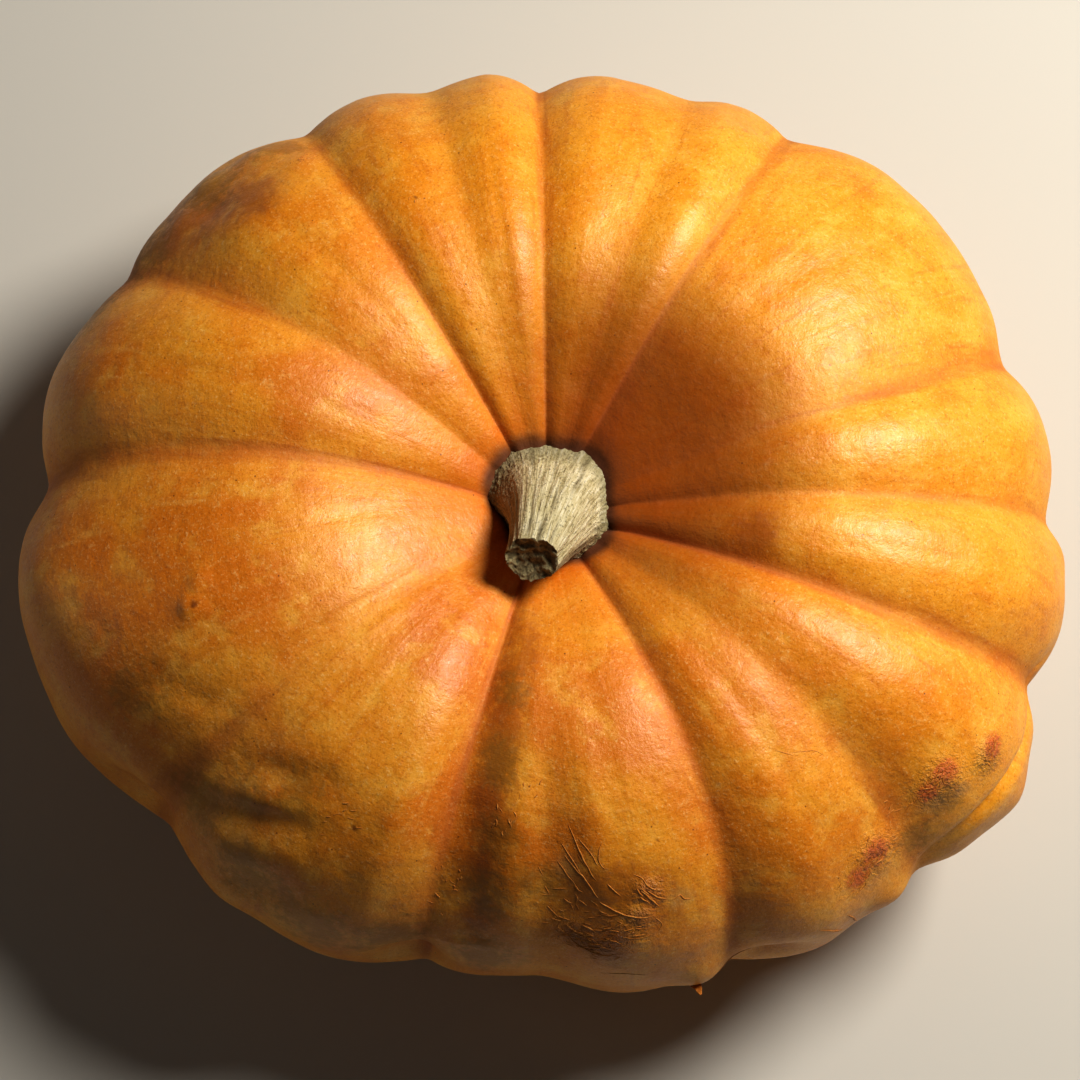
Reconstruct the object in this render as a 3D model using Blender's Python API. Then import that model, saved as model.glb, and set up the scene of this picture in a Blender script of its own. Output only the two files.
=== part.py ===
"""A large flattened pumpkin with deep ribs, as picked, with its dry cut stem.

Frame: origin on the ground under the middle of the outline, +Z up, +X along the widest way
across, -Y towards the side that the stem leans to.
Run with: blender --background --python part.py
"""

import math

import bmesh
import bpy
import numpy as np
from mathutils import Vector

MM = 0.001

# Smooth body: a squashed ball with its widest ring at EQUATOR_Z, dished at both ends.
EQUATOR_Z = 84 * MM
UPPER_HALF = 104 * MM
LOWER_HALF = 94 * MM
UPPER_SQUARENESS = 2.2
LOWER_SQUARENESS = 2.4
STEM_DISH_DEPTH = 58 * MM
STEM_DISH_RADIUS = 70 * MM
STEM_DISH_POWER = 1.6
BLOSSOM_DISH_DEPTH = 20 * MM
BLOSSOM_DISH_RADIUS = 55 * MM

# Flat places: the disc that the stem grew from, and the ribs' feet on the ground.
STEM_SEAT_Z = 134 * MM
STEM_SEAT_RADIUS = 28 * MM
GROUND_Z = 0.0

# Ribs. Each row is one groove and the rib that follows it, anticlockwise seen from above:
# groove azimuth at the stem and at the equator (degrees), groove depth and the rib's reach (mm).
RIBS = (
    (-4, 2, 5, 198),
    (11, 20, 8, 198),
    (57, 59, 6, 190),
    (71, 72, 3, 187),
    (91, 91, 7, 188),
    (107, 105, 3, 191),
    (123, 121, 5, 197),
    (146, 149, 6, 202),
    (172, 175, 8.5, 200),
    (217, 217, 12, 183),
    (254, 254, 6, 169),
    (270, 270, 5, 177),
    (300, 293, 6.5, 188),
    (320, 317, 7, 203),
    (336, 340, 7.5, 201),
)
GROOVE_SHARPNESS = 2.3
GROOVE_FADE_POWER = 0.55

# Stem: a flared foot on the seat, a shank that leans and tapers, and a sawn end.
STEM_GAP = 0.3 * MM
STEM_FOOT_RADIUS = 22 * MM
STEM_END_RADIUS = 9.5 * MM
STEM_FLARE_POWER = 1.6
STEM_LENGTH = 42 * MM
STEM_FOOT_LEAN_DEG = 30
STEM_END_LEAN_DEG = 60
STEM_LEAN_AZIMUTH_DEG = 256
STEM_SQUARE_SHARE = 0.8
STEM_LOBES = 5
STEM_LOBE_SHARE = 0.07

# Mesh steps
FRUIT_MERIDIANS = 120
FRUIT_RINGS = 38
RING_SPREAD = math.radians(8.7)
STEM_SIDES = 40
STEM_RINGS = 12


def clear_scene():
    for obj in list(bpy.data.objects):
        bpy.data.objects.remove(obj)


def principled(name, colour, roughness):
    material = bpy.data.materials.new(name)
    material.use_nodes = True
    shader = material.node_tree.nodes["Principled BSDF"]
    shader.inputs["Base Color"].default_value = (*colour, 1)
    shader.inputs["Roughness"].default_value = roughness
    shader.inputs["Metallic"].default_value = 0
    return material


def smoothstep(t):
    t = np.clip(t, 0, 1)
    return t * t * (3 - 2 * t)


def body_outline(reach, polar):
    """Radius and height of the smooth body at an angle from its top, without ribs."""
    across = np.sin(polar)
    up = np.cos(polar)
    squareness = np.where(up > 0, UPPER_SQUARENESS, LOWER_SQUARENESS)
    half = np.where(up > 0, UPPER_HALF, LOWER_HALF)
    radius = reach * across ** (2 / squareness)
    height = EQUATOR_Z + np.sign(up) * half * np.abs(up) ** (2 / squareness)
    stem_dish = np.exp(-((radius / STEM_DISH_RADIUS) ** STEM_DISH_POWER))
    blossom_dish = np.exp(-((radius / BLOSSOM_DISH_RADIUS) ** 2))
    height -= STEM_DISH_DEPTH * np.maximum(up, 0) * stem_dish
    height += BLOSSOM_DISH_DEPTH * np.maximum(-up, 0) * blossom_dish
    return radius, height


def inward_direction(reach, polar):
    """Unit vector (radial, vertical) into the body, square to its outline."""
    step = 1e-3
    r_before, z_before = body_outline(reach, polar - step)
    r_after, z_after = body_outline(reach, polar + step)
    length = np.hypot(r_after - r_before, z_after - z_before)
    return (z_after - z_before) / length, (r_before - r_after) / length


def fruit_surface(rib_place, polar):
    """Points of the ribbed skin. rib_place counts ribs: whole numbers are grooves."""
    stem_deg, equator_deg, depth_mm, reach_mm = (np.array(column) for column in zip(*RIBS))
    count = len(RIBS)
    groove = np.floor(rib_place).astype(int)
    across = rib_place - groove
    after = (groove + 1) % count
    groove %= count

    turn = np.where(after == 0, 360, 0)
    at_stem = stem_deg[groove] + across * (stem_deg[after] + turn - stem_deg[groove])
    at_equator = equator_deg[groove] + across * (equator_deg[after] + turn - equator_deg[groove])
    down = smoothstep(polar / (math.pi / 2))
    azimuth = np.radians(at_stem + down * (at_equator - at_stem))

    crest_place = rib_place - 0.5
    crest = np.floor(crest_place).astype(int)
    mix = smoothstep(crest_place - crest)
    reach = MM * (reach_mm[crest % count] * (1 - mix) + reach_mm[(crest + 1) % count] * mix)

    side = 2 * across - 1
    depth = MM * np.where(side < 0, depth_mm[groove], depth_mm[after])
    depth = depth * np.abs(side) ** GROOVE_SHARPNESS * np.sin(polar) ** GROOVE_FADE_POWER

    radius, height = body_outline(reach, polar)
    inward_r, inward_z = inward_direction(reach, polar)
    radius = radius + depth * inward_r
    height = height + depth * inward_z
    on_seat = (polar < math.pi / 2) & (radius < STEM_SEAT_RADIUS)
    height = np.where(on_seat, STEM_SEAT_Z, np.maximum(height, GROUND_Z))
    return radius * np.cos(azimuth), radius * np.sin(azimuth), height


def rib_places(turn_deg):
    """Where evenly spaced meridians lie among the ribs, with one meridian on each groove."""
    equator_deg = [row[1] for row in RIBS]
    step = 360 / FRUIT_MERIDIANS
    on_groove = [round(deg / step) * step for deg in equator_deg]
    places = list(range(len(RIBS)))
    first = on_groove[0]
    turned = first + (turn_deg - first) % 360
    return np.interp(turned, on_groove + [first + 360], places + [len(RIBS)])


def make_fruit():
    mesh = bpy.data.meshes.new("fruit")
    cage = bmesh.new()
    bmesh.ops.create_uvsphere(
        cage, u_segments=FRUIT_MERIDIANS, v_segments=FRUIT_RINGS, radius=1
    )
    ball = np.array([vert.co for vert in cage.verts])
    smallest = 0.01
    polar = np.clip(np.arccos(np.clip(ball[:, 2], -1, 1)), smallest, math.pi - smallest)
    polar += RING_SPREAD * np.sin(2 * polar)
    turn_deg = np.degrees(np.arctan2(ball[:, 1], ball[:, 0]))
    at_pole = np.hypot(ball[:, 0], ball[:, 1]) < 1e-6
    x, y, z = fruit_surface(rib_places(turn_deg), polar)
    x = np.where(at_pole, 0, x)
    y = np.where(at_pole, 0, y)
    for vert, place in zip(cage.verts, zip(x, y, z)):
        vert.co = place
    cage.to_mesh(mesh)
    cage.free()
    mesh.shade_smooth()
    fruit = bpy.data.objects.new("fruit", mesh)
    mesh.materials.append(principled("pumpkin rind", (0.78, 0.33, 0.03), 0.5))
    return fruit


def stem_radius(along):
    """Radius of the stem at a share of its length: a wide foot that narrows ever more slowly."""
    flare = (STEM_FOOT_RADIUS - STEM_END_RADIUS) * (1 - along) ** STEM_FLARE_POWER
    return STEM_END_RADIUS + flare


def stem_spine(along):
    """Sideways travel, height and lean of the stem's spine, an arc that leans more as it rises."""
    first = math.radians(STEM_FOOT_LEAN_DEG)
    last = math.radians(STEM_END_LEAN_DEG)
    bend_radius = STEM_LENGTH / (last - first)
    lean = first + (last - first) * along
    travel = bend_radius * (math.cos(first) - np.cos(lean))
    height = bend_radius * (np.sin(lean) - math.sin(first))
    return travel, height, lean


def make_stem():
    mesh = bpy.data.meshes.new("stem")
    cage = bmesh.new()
    bmesh.ops.create_cone(
        cage, cap_ends=True, segments=STEM_SIDES, radius1=1, radius2=1, depth=1
    )
    uprights = [e for e in cage.edges if abs(e.verts[0].co.z - e.verts[1].co.z) > 0.5]
    bmesh.ops.subdivide_edges(cage, edges=uprights, cuts=STEM_RINGS - 1, use_grid_fill=True)
    tube = np.array([vert.co for vert in cage.verts])
    along = tube[:, 2] + 0.5
    turn = np.arctan2(tube[:, 1], tube[:, 0])
    lobes = 1 + STEM_LOBE_SHARE * (1 - along) * np.cos(STEM_LOBES * turn)
    radius = stem_radius(along) * lobes / (1 + STEM_LOBE_SHARE)
    travel, height, lean = stem_spine(along)
    tilt = lean * smoothstep(along / STEM_SQUARE_SHARE)
    forward = radius * np.cos(turn)
    sideways = radius * np.sin(turn)
    x = travel + forward * np.cos(tilt)
    z = height - forward * np.sin(tilt)
    for vert, place in zip(cage.verts, zip(x, sideways, z)):
        vert.co = place
    bmesh.ops.recalc_face_normals(cage, faces=cage.faces)
    cage.to_mesh(mesh)
    cage.free()
    mesh.shade_smooth()
    mesh.set_sharp_from_angle(angle=math.radians(40))
    stem = bpy.data.objects.new("stem", mesh)
    stem.location = (0, 0, STEM_SEAT_Z + STEM_GAP)
    stem.rotation_euler = (0, 0, math.radians(STEM_LEAN_AZIMUTH_DEG))
    mesh.materials.append(principled("dry stem", (0.48, 0.42, 0.26), 0.8))
    return stem


def centre_outline(objects):
    """Slides everything sideways until the origin is under the middle of the outline."""
    bpy.context.view_layer.update()
    corners = [obj.matrix_world @ Vector(corner) for obj in objects for corner in obj.bound_box]
    for axis in (0, 1):
        values = [corner[axis] for corner in corners]
        middle = (min(values) + max(values)) / 2
        for obj in objects:
            obj.location[axis] -= middle


def main():
    clear_scene()
    pumpkin = bpy.data.collections.new("pumpkin")
    bpy.context.scene.collection.children.link(pumpkin)
    objects = (make_fruit(), make_stem())
    for obj in objects:
        pumpkin.objects.link(obj)
    centre_outline(objects)


main()
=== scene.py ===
"""The looks of a large flattened ribbed pumpkin with its dry cut stem, on a plain pale floor."""

import math
import random

import bmesh
import bpy
import numpy as np
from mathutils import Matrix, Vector, noise
from mathutils.bvhtree import BVHTree


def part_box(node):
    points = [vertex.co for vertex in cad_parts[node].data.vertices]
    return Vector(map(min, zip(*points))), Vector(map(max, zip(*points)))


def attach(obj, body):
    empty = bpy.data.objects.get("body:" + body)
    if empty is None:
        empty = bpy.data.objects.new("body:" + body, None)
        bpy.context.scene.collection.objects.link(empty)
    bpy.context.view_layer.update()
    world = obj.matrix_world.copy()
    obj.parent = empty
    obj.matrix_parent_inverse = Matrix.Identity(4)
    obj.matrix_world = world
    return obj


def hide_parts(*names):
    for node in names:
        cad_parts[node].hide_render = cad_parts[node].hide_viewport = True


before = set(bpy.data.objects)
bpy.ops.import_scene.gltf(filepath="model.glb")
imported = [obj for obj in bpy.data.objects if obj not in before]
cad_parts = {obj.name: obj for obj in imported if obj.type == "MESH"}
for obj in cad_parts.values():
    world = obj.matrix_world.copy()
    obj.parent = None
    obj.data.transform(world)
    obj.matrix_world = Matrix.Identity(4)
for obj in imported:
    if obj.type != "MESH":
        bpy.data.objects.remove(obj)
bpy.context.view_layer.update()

MM = 0.001

# ---------------------------------------------------------------- the fruit's shape

# Smooth body: a squashed ball with its widest ring at EQUATOR_Z, dished at both ends
EQUATOR_Z = 84 * MM
UPPER_HALF = 104 * MM
LOWER_HALF = 94 * MM
UPPER_SQUARENESS = 2.2
LOWER_SQUARENESS = 2.4
STEM_DISH_DEPTH = 58 * MM
STEM_DISH_RADIUS = 70 * MM
STEM_DISH_POWER = 1.6
BLOSSOM_DISH_DEPTH = 20 * MM
BLOSSOM_DISH_RADIUS = 55 * MM

# Ribs. Each row is one groove and the rib that follows it, anticlockwise seen from above:
# groove azimuth at the stem and at the equator (degrees), groove depth and the rib's reach (mm),
# the share of that depth left beside the stem, the angle from the top where the groove is at
# its full depth (degrees), and how round its bottom is (share of half a rib).
RIBS = (
    (-3, 1, 7.5, 198, 0.6, 46, 0.1),
    (13, 20.5, 8.5, 198, 0.25, 42, 0.1),
    (57, 59, 7.5, 190, 1.0, 46, 0.07),
    (71, 72, 4, 187, 0.3, 44, 0.3),
    (91, 91, 8.5, 188, 0.8, 46, 0.07),
    (107, 105, 4, 191, 0.3, 44, 0.28),
    (123, 121, 6.5, 197, 1.2, 46, 0.07),
    (146, 149, 8.5, 202, 0.4, 44, 0.1),
    (172, 175, 9, 200, 0.9, 46, 0.07),
    (219, 217, 9, 183, 0.4, 66, 0.06),
    (254, 254, 8.5, 169, 1.1, 46, 0.05),
    (270, 270, 5, 177, 0.1, 56, 0.25),
    (300, 293, 7.5, 188, 1.0, 46, 0.08),
    (320, 317, 7.5, 203, 0.2, 56, 0.2),
    (338, 342.2, 9.5, 201, 1.1, 46, 0.09),
)
RUN_OUT_START_DEG = 14
GROOVE_SHARPNESS = 2.3
GROOVE_FADE_POWER = 0.55
# Groove depth at which a groove's painted shade, and its dullness, are full
FULL_TINT_DEPTH_MM = 8.5

# Mesh steps: one meridian every 0.75 degrees and one ring about every 0.9 degrees
FRUIT_MERIDIANS = 480
FRUIT_RINGS = 198
PLACES_LOOKED_UP = 3000

# Undulation all over: height and lump size (mm), the noise's seed, and the share of the height
# left beside the stem, where the skin is tight. It grows to the whole from CALM_RADIUS outwards.
UNDULATIONS = ((1.2, 60, 1, 0.3), (0.5, 22, 2, 0.3), (0.22, 11, 3, 0.4))
CALM_RADIUS = 28 * MM
CALM_EDGE = 40 * MM

# Dents (below zero) and swellings: azimuth and angle from the top (degrees), radius and height
# (mm)
LUMPS = (
    (186, 78, 28, 6),
    (212.5, 86, 17, -8),
    (216, 84, 12, -3),
    (180, 84, 12, 2),
    (313, 87, 11, 4.5),
    (358, 85, 11, 2.5),
    (26, 84, 12, 1.5),
    (229, 83, 16, 4.5),
    (252, 88, 13, -8),
    (289, 88, 12, 5.5),
    (298, 90, 12, -8),
    (147, 76, 20, 3.5),
    (50, 69, 20, 2.5),
    (62, 67, 14, -2),
    (330, 89, 13, 3),
    (321, 90, 11, 2),
    (338, 90, 10, 2),
    (196.3, 38.5, 4.5, 2.0),
    (199.5, 41, 4.5, 2.3),
    (49, 35, 3.5, -0.8),
    (125, 56, 7, 1.6),
    (239, 66, 16, 2.5),
    (224, 66, 12, 1.5),
    (8, 66, 18, 2),
    (28, 64, 20, 2),
    (41, 66, 16, 1.5),
    (128, 66, 9, 1.6),
    (135, 70, 8, 1.4),
    (141, 66, 8, 1.2),
    (137, 60, 7, -1.2),
    (131, 73, 7, -1.2),
    (40, 14, 18, -4),
    (78, 14, 16, -3.5),
    (6, 14, 16, -3.5),
    (18, 31, 26, 3),
    (62, 31, 22, 2.5),
    (98, 28, 20, 2),
    (136, 48, 18, 2),
    (136, 22, 14, -2),
)

# Rises and falls of the shoulder, straight up or down, in the same terms
RISES = (
    (191, 72, 33, 8),
    (168, 60, 22, 2.5),
    (137, 64, 26, -4),
    (240, 70, 28, -4),
)

# Creases (below zero) and raised folds: height and half width (mm), then places along the
# middle, each an azimuth and an angle from the top. They fade out at both ends.
FOLD_STEP = 3 * MM
FOLD_FADE_POWER = 0.5
FOLDS = (
    (-4.5, 3.6, ((346, 85), (340, 83.5), (335, 80), (331, 77), (327, 76), (322, 78.5), (317, 86))),
    (-1.8, 3.5, ((214, 12), (214, 22), (214, 34), (214.5, 48))),
    (1.3, 3.5, ((222, 12), (221, 22), (220, 34), (219, 48), (218.5, 60))),
    (-1.2, 7, ((219, 74), (221, 68), (223, 62), (226, 56))),
    (-1.6, 6, ((222, 54), (226, 50), (231, 47.5), (236, 46))),
    (-1.8, 6, ((221, 66), (226, 61), (231, 57), (236, 54))),
    (1.8, 6, ((217.5, 52), (218.5, 60), (218, 68))),
    (1.8, 6, ((222, 60), (227, 55.5), (232, 52))),
    (2.0, 8, ((226, 72), (231, 64), (237, 58))),
    (-1.5, 7, ((230, 78), (236, 70), (243, 63))),
    (-1.3, 6, ((204, 52), (209, 50), (214, 47))),
    (-7, 13, ((256, 13), (256.5, 30), (257, 46), (258, 62), (259, 76))),
    (2.4, 8, ((246, 16), (246, 34), (246, 54), (246, 76))),
    (2.0, 9, ((277, 30), (278, 44), (278, 58))),
    (-0.9, 4, ((133, 16), (133, 28), (134, 42), (135, 54))),
    (-0.7, 3.5, ((184, 11), (189, 18), (191, 26), (192, 36))),
    (-0.8, 4.5, ((44, 16), (42, 30), (39, 44), (37, 56))),
    (-0.7, 3.5, ((245, 14), (245, 28), (244, 42), (243, 50))),
    (-0.8, 4.5, ((282, 12), (282, 24), (281, 38), (280, 48))),
    (-0.8, 4.5, ((310, 14), (310, 26), (309, 40), (307, 52))),
    (-0.8, 4, ((346, 12), (347, 24), (349, 38), (351, 50))),
    (-0.8, 4, ((160, 14), (160, 26), (161, 40), (162, 52))),
    (-0.8, 4, ((101, 12), (100, 24), (99, 36), (98, 48))),
    (-0.6, 3.5, ((233, 14), (232, 26), (231, 38))),
    (-0.6, 3.5, ((203, 14), (205, 26), (206, 38))),
)

# The narrow crevice in the skin round the stem's foot. Its middle lies CREVICE_OFFSET outside
# the foot's outline, so below zero it is under the foot's rim.
CREVICE_OFFSET = -2 * MM
CREVICE_HALF_WIDTH = 4.5 * MM
CREVICE_DEPTH = 2.5 * MM

# Where the skin is marked, each patch an azimuth and an angle from the top with a radius in mm
OLIVE_PATCHES = (
    (221, 64, 17), (226, 56, 13), (231, 50, 12), (231, 70, 20), (240, 76, 22), (250, 78, 22),
    (262, 80, 18), (126, 66, 15), (135, 68, 18), (145, 72, 18), (155, 76, 18), (323, 66.5, 9),
    (318, 72, 10), (206, 56, 16), (268, 57, 12), (262, 62, 13), (262, 50, 12), (261, 38, 12),
    (260, 26, 10),
)
BROWN_PATCHES = (
    (276, 57, 15), (281, 56, 14), (277, 66, 14), (283, 62, 12), (285, 56, 9), (278, 73, 8),
    (346, 21, 10), (141, 65, 24), (134, 54, 16), (150, 76, 16),
)
RED_SCUFFS = ((325, 60.5, 7.5), (322, 62, 6), (331, 66, 7), (313, 68.5, 8.5), (309.5, 71, 7.5))
GREY_BRUISES = ((321.5, 65, 7), (325, 66.5, 5), (273, 52, 7), (288, 60, 7), (229, 66, 9))
BROWN_NICKS = (
    (49, 35, 1.3), (49.8, 35.7, 0.8), (17, 45, 0.8), (8, 47, 0.8), (171.5, 44, 1.6),
    (199.5, 40, 1.8), (114, 37, 1.3), (125, 56, 1.4), (287, 48, 0.8), (241, 50, 1.5),
)
SCARRED_SKIN = (
    (273.5, 68, 8), (276.5, 70, 8), (280, 67, 7), (282, 62, 5), (284, 57, 5), (324, 62, 7),
    (313, 69, 8), (330, 66, 6),
)

# A stripe of painted shade down one rib, cut off sharply by the groove at its side
SHADE_STRIPE = ((260, 9), (260, 20), (260, 34), (260, 50), (260, 66), (260, 78))
SHADE_STRIPE_HALF_WIDTH_MM = 10
SHADE_STRIPE_START_DEG = 253.6
SHADE_STRIPE_EDGE_DEG = 1.5

# Painted light and shade in the colour: painted shade in the dish round the stem, deeper painted
# shade on the wall of that dish on one side, and the azimuth of the painted light, where the fruit
# is yellowest, with painted shade in redder orange on its opposite side
DISH_SHADE_RADIUS = 62 * MM
WALL_SHADE_RADIUS = 98 * MM
WALL_SHADE_DEG = 26
PAINTED_LIGHT_DEG = 45

# Lengths on the skin, for patterns that follow the ribs: angles about the axis and from the top
# are turned to lengths with these radii
AROUND_RADIUS = 120 * MM
DOWN_RADIUS = 190 * MM

# Raised dry scratches: the ridge's size in mm, then places along it. A ridge's radius is
# RIDGE_SHARE of that size, and its middle is RIDGE_SINK of the radius below the skin.
SCRATCHES = (
    (0.34, ((273.5, 44), (275, 48.6), (277, 53.6))),
    (0.4, ((272.6, 49.7), (274, 51.8), (275.5, 53.8), (277, 57.4))),
    (0.28, ((273.9, 45.4), (275.3, 49.6), (276.4, 52.4))),
    (0.24, ((274.6, 49), (275.8, 51.4))),
    (0.3, ((272, 47.5), (273.8, 50.4), (275.2, 53.4))),
    (0.28, ((271.4, 51), (272.6, 53), (274, 55.4))),
    (0.26, ((275, 46.2), (276.6, 48.6), (277.6, 51))),
    (0.3, ((278.4, 46.7), (277.7, 49), (277.8, 50.3), (278.3, 51.2), (279, 51.3))),
    (0.45, ((277, 58), (279.4, 60.4), (282, 62.2), (284, 62.3))),
    (0.38, ((278.5, 54.3), (279.2, 55.6), (280, 56.8))),
    (0.34, ((282.3, 53), (283.4, 54), (284, 56), (285.4, 57.5))),
    (0.5, ((282.9, 56.5), (283.9, 58.4), (284.9, 60.5))),
    (0.34, ((283.8, 56.8), (285, 58.6), (286, 59.4))),
    (0.34, ((287, 60), (288, 59.3), (288.4, 60.4), (289.4, 60.8))),
    (0.3, ((271.6, 64.5), (271.5, 66.4), (272.5, 67.8))),
    (0.34, ((272.4, 67.6), (274.3, 70.8), (276.8, 72.3), (278.4, 71.6))),
    (0.24, ((284, 62.6), (284.8, 64.6), (284.3, 66.2))),
    (0.24, ((279.6, 66.6), (281.4, 67.2), (283.4, 66.8))),
    (0.26, ((276.6, 80), (279, 79), (282, 80))),
    (0.2, ((268.6, 52.8), (269.4, 54.6))),
    (0.2, ((269.6, 56.8), (270.3, 58.4))),
    (0.2, ((309.5, 40.8), (311.4, 43))),
    (0.2, ((311.4, 42.5), (314.3, 44), (315.2, 45.6))),
    (0.6, ((303, 79), (304.5, 83), (306, 88))),
    (0.5, ((306.6, 80), (307.4, 84), (308, 89))),
    (0.5, ((290, 88), (293, 87.6), (296, 86))),
)

# Groups of short scratches: azimuth and angle from the top of the middle (degrees), radius of
# the group (mm), how many, their length (mm), and their heading (degrees), from along the
# parallel towards the stem
SCRATCH_GROUPS = (
    (274, 65, 9, 34, 3.6, 12),
    (275.5, 69.5, 7, 26, 3.0, -18),
    (278.5, 63, 8, 16, 3.4, 8),
    (281, 65, 6, 12, 2.6, 5),
    (284, 58, 5, 9, 3.0, -50),
    (274, 58, 6, 8, 3.2, -60),
    (324, 61, 6, 16, 2.6, 20),
    (319, 61, 6, 8, 2.8, 15),
    (313, 68.5, 7, 18, 2.8, 25),
    (309, 72, 8, 12, 3.2, 20),
    (331, 66, 5, 8, 2.6, 40),
    (256, 62, 9, 14, 1.8, -60),
    (262, 46, 10, 10, 2.4, -75),
    (240, 50, 9, 10, 1.6, 30),
    (268, 40, 8, 6, 1.8, 70),
    (124.5, 56.8, 4, 9, 3.2, 40),
    (114, 37, 3, 3, 2.0, 60),
)
SHORT_SCRATCH_SEED = 5
SHORT_SCRATCH_MM = 0.25
SHORT_SCRATCH_SIZES = (0.6, 1.6)
SHORT_SCRATCH_LENGTHS = (0.6, 1.5)
SHORT_SCRATCH_SCATTER = 0.55
SHORT_SCRATCH_TURN_DEG = 22
SHORT_SCRATCH_BOW = 0.35
SCRATCH_STEP = 0.8 * MM
SCRATCH_WOBBLE = 0.3 * MM
SCRATCH_WOBBLE_SIZE = 3 * MM
RIDGE_SHARE = 0.85
RIDGE_SINK = 0.25
RIDGE_TAPER_POWER = 0.6
RIDGE_UNEVENNESS = 0.35
RIDGE_LUMP_SIZE = 2.2 * MM

# A curled flake of skin: where it is rooted, its length from below its root to its tip, its
# width, and how far its tip stands out
FLAKE_AZIMUTH_DEG = 288
FLAKE_POLAR_DEG = 90
FLAKE_LENGTH = 7 * MM
FLAKE_BELOW_ROOT = 1 * MM
FLAKE_HALF_WIDTH = 2.4 * MM
FLAKE_TAPER = 0.8
FLAKE_CURL = 5 * MM
FLAKE_CURL_POWER = 1.4
FLAKE_RAGGEDNESS = 0.4 * MM
FLAKE_RAGGED_LUMPS = 2.3
FLAKE_THICKNESS = 0.35 * MM

# ---------------------------------------------------------------- the stem's shape

# A flared foot, a shank that leans and tapers, and a torn end that is less tilted than the shank
STEM_FOOT_RADIUS = 23.6 * MM
STEM_END_RADIUS = 9.6 * MM
STEM_FLARE_POWER = 1.5
STEM_FLARE_LEAN = -0.65
STEM_LENGTH = 41.5 * MM
STEM_FOOT_LEAN_DEG = 30
STEM_END_LEAN_DEG = 60
STEM_LEAN_AZIMUTH_DEG = 259
STEM_SQUARE_SHARE = 0.8
STEM_CUT_SHARE = 0.82

# Blunt corners of its outline, as waves round it: how many, the share of the radius that they
# stand out at the foot, and the wave's phase at STEM_CORNER_AZIMUTH_DEG (radians). They fade by
# STEM_CORNER_FADE on the way to the end.
STEM_CORNERS = ((4, 0.045, 0), (5, 0.035, 1.1))
STEM_CORNER_AZIMUTH_DEG = 50
STEM_CORNER_FADE = 0.5

# The lip round the foot, the side where the foot has worn away, and the hollow beside it.
# Shares are of the radius, lengths and places are shares of the stem's length, and spreads are
# in radians.
STEM_LIP_SHARE = 0.05
STEM_LIP_LENGTH = 0.09
STEM_BARE_SIDE_DEG = 208
STEM_BARE_SHARE = 0.34
STEM_BARE_SPREAD = 0.6
STEM_HOLLOW_DEG = 318
STEM_HOLLOW_DEPTH = 2.4 * MM
STEM_HOLLOW_SPREAD = 0.38
STEM_HOLLOW_ALONG = 0.12
STEM_HOLLOW_LENGTH = 0.3

# A stain a quarter turn clockwise of the lean, and this much further round (radians)
STAIN_TURN = 0.35

# Relief: lump size and height (mm), then the noise's seed. Fibres are drawn out along the shank
# and furrow it, each size by its own share, and grains take over towards the foot.
FIBRES = ((1.3, 0.4, 4), (2.6, 0.5, 5), (6.5, 0.9, 6))
FURROW_SHARES = (0.5, 0.7, 0.7)
GRAINS = ((0.7, 0.8, 7), (1.6, 0.5, 8))
FIBRE_RADIUS = 15 * MM
FIBRE_STRETCH = 0.35
GRAIN_UNSTRETCH = 8
GRAIN_ON_SHANK = 0.1 * MM
GRAINY_LENGTH = 0.28

# The torn end: two sizes of lumps (mm) with their shares and seeds, calmer in the middle, a
# hollow, and a ragged rim over the last share of the shank
TORN_LUMPS = ((3.4, 1.0, 9), (1.5, 0.6, 10))
TORN_HEIGHT = 1 * MM
TORN_MIDDLE_SHARE = 0.4
END_HOLLOW_DEPTH = 2.4 * MM
END_RIM_FADE = 0.15
RIM_HEIGHT = 1.3 * MM
RIM_LUMP_SIZE = 5 * MM
RIM_SEED = 11
RIM_SHARE = 0.25

# Mesh steps, and how rings spread from the middle of the end and the foot, as powers: 1 is even
END_SPREAD_POWER = 0.9
FOOT_SPREAD_POWER = 0.5
STEM_SIDES = 336
STEM_RINGS = 250
STEM_END_RINGS = 60
STEM_FOOT_RINGS = 14

# ---------------------------------------------------------------- shared sums

def smoothstep(t):
    t = np.clip(t, 0, 1)
    return t * t * (3 - 2 * t)


def noise_at(points, size, seed):
    """Smooth noise from -1 to 1 at each point, with lumps about this size in metres."""
    offset = Vector((7.3 * seed, -4.1 * seed, 2.7 * seed))
    return np.array([noise.noise(Vector(point) / size + offset) for point in points])


def stem_seat():
    """Middle of the CAD stem's foot, where the fruit's own axis meets its skin."""
    low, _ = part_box("stem")
    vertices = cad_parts["stem"].data.vertices
    foot = [vert.co for vert in vertices if vert.co.z < low.z + 0.01 * MM]
    corners = sorted({(round(co.x, 6), round(co.y, 6)) for co in foot})
    x, y = np.mean(corners, axis=0)
    return Vector((x, y, low.z))


SEAT = stem_seat()


def body_outline(reach, polar):
    """Radius and height of the smooth body at an angle from its top, without ribs."""
    across = np.sin(polar)
    up = np.cos(polar)
    squareness = np.where(up > 0, UPPER_SQUARENESS, LOWER_SQUARENESS)
    half = np.where(up > 0, UPPER_HALF, LOWER_HALF)
    radius = reach * across ** (2 / squareness)
    height = EQUATOR_Z + np.sign(up) * half * np.abs(up) ** (2 / squareness)
    stem_dish = np.exp(-((radius / STEM_DISH_RADIUS) ** STEM_DISH_POWER))
    blossom_dish = np.exp(-((radius / BLOSSOM_DISH_RADIUS) ** 2))
    height -= STEM_DISH_DEPTH * np.maximum(up, 0) * stem_dish
    height += BLOSSOM_DISH_DEPTH * np.maximum(-up, 0) * blossom_dish
    return radius, height


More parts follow.
